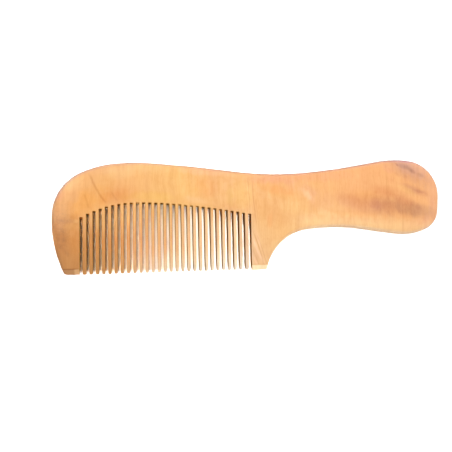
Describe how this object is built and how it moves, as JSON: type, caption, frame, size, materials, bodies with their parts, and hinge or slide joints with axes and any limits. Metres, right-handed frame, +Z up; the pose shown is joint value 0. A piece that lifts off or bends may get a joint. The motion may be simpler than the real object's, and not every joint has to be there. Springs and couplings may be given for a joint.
{
  "type": "wooden comb",
  "caption": "Flat wooden comb with fine straight teeth between two end guards, an arched spine and a waisted, rounded handle.",
  "frame": {"origin": "middle of the comb's footprint, on its flat underside", "axes": "+X along the comb towards the handle, +Y towards the spine with the teeth pointing to -Y, +Z up through the thickness with the comb lying flat"},
  "size_m": [0.1806, 0.0514, 0.0046],
  "materials": {
    "wood": "satin"
  },
  "bodies": {
    "root": {"comb": "wood"}
  },
  "joints": []
}
